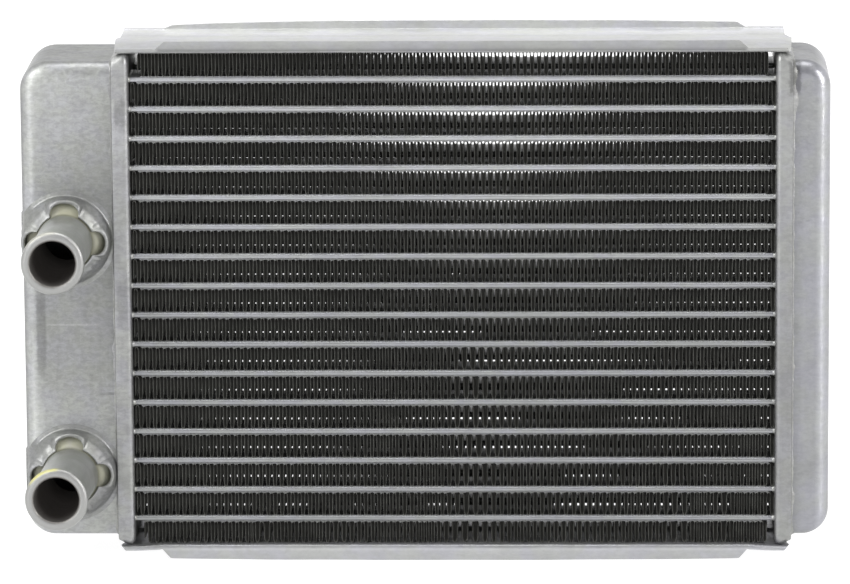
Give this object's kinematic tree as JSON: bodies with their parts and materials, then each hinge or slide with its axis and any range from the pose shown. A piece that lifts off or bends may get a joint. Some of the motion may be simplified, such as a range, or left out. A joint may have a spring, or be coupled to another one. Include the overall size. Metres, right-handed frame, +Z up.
{
  "type": "heater core",
  "caption": "Brazed aluminium heater core with two rows of flat tubes and folded fins between two end tanks, channel side plates and two straight hose stubs on one tank.",
  "frame": {"origin": "middle of the footprint of the box round the whole part, on the surface that it stands on", "axes": "+X from the inlet and outlet tank to the return tank, +Z up, the hose stubs point to -Y, and air passes through the core along Y"},
  "size_m": [0.246, 0.0812, 0.161],
  "materials": {
    "tank": "dull brazed aluminium with faint water stains",
    "header_plate": "dull brazed aluminium",
    "side_plate": "dull brazed aluminium",
    "flat_tube": "dull brazed aluminium",
    "fin": "matt thin sheet, dark between the folds",
    "hose_stub": "dull drawn aluminium with a trace of pale brazing flux",
    "baffle": "dull brazed aluminium"
  },
  "bodies": {
    "root": {"inlet_outlet_tank": "tank", "return_tank": "tank", "header_plate_left": "header_plate", "header_plate_right": "header_plate", "side_plate_top": "side_plate", "side_plate_bottom": "side_plate", "hose_stub_upper": "hose_stub", "hose_stub_lower": "hose_stub", "tank_baffle": "baffle", "flat_tube_front_01": "flat_tube", "flat_tube_front_02": "flat_tube", "flat_tube_front_03": "flat_tube", "flat_tube_front_04": "flat_tube", "flat_tube_front_05": "flat_tube", "flat_tube_front_06": "flat_tube", "flat_tube_front_07": "flat_tube", "flat_tube_front_08": "flat_tube", "flat_tube_front_09": "flat_tube", "flat_tube_front_10": "flat_tube", "flat_tube_front_11": "flat_tube", "flat_tube_front_12": "flat_tube", "flat_tube_front_13": "flat_tube", "flat_tube_front_14": "flat_tube", "flat_tube_front_15": "flat_tube", "flat_tube_front_16": "flat_tube", "flat_tube_rear_01": "flat_tube", "flat_tube_rear_02": "flat_tube", "flat_tube_rear_03": "flat_tube", "flat_tube_rear_04": "flat_tube", "flat_tube_rear_05": "flat_tube", "flat_tube_rear_06": "flat_tube", "flat_tube_rear_07": "flat_tube", "flat_tube_rear_08": "flat_tube", "flat_tube_rear_09": "flat_tube", "flat_tube_rear_10": "flat_tube", "flat_tube_rear_11": "flat_tube", "flat_tube_rear_12": "flat_tube", "flat_tube_rear_13": "flat_tube", "flat_tube_rear_14": "flat_tube", "flat_tube_rear_15": "flat_tube", "flat_tube_rear_16": "flat_tube", "fin_strip_01": "fin", "fin_strip_02": "fin", "fin_strip_03": "fin", "fin_strip_04": "fin", "fin_strip_05": "fin", "fin_strip_06": "fin", "fin_strip_07": "fin", "fin_strip_08": "fin", "fin_strip_09": "fin", "fin_strip_10": "fin", "fin_strip_11": "fin", "fin_strip_12": "fin", "fin_strip_13": "fin", "fin_strip_14": "fin", "fin_strip_15": "fin", "fin_strip_16": "fin", "fin_strip_17": "fin"}
  },
  "joints": []
}
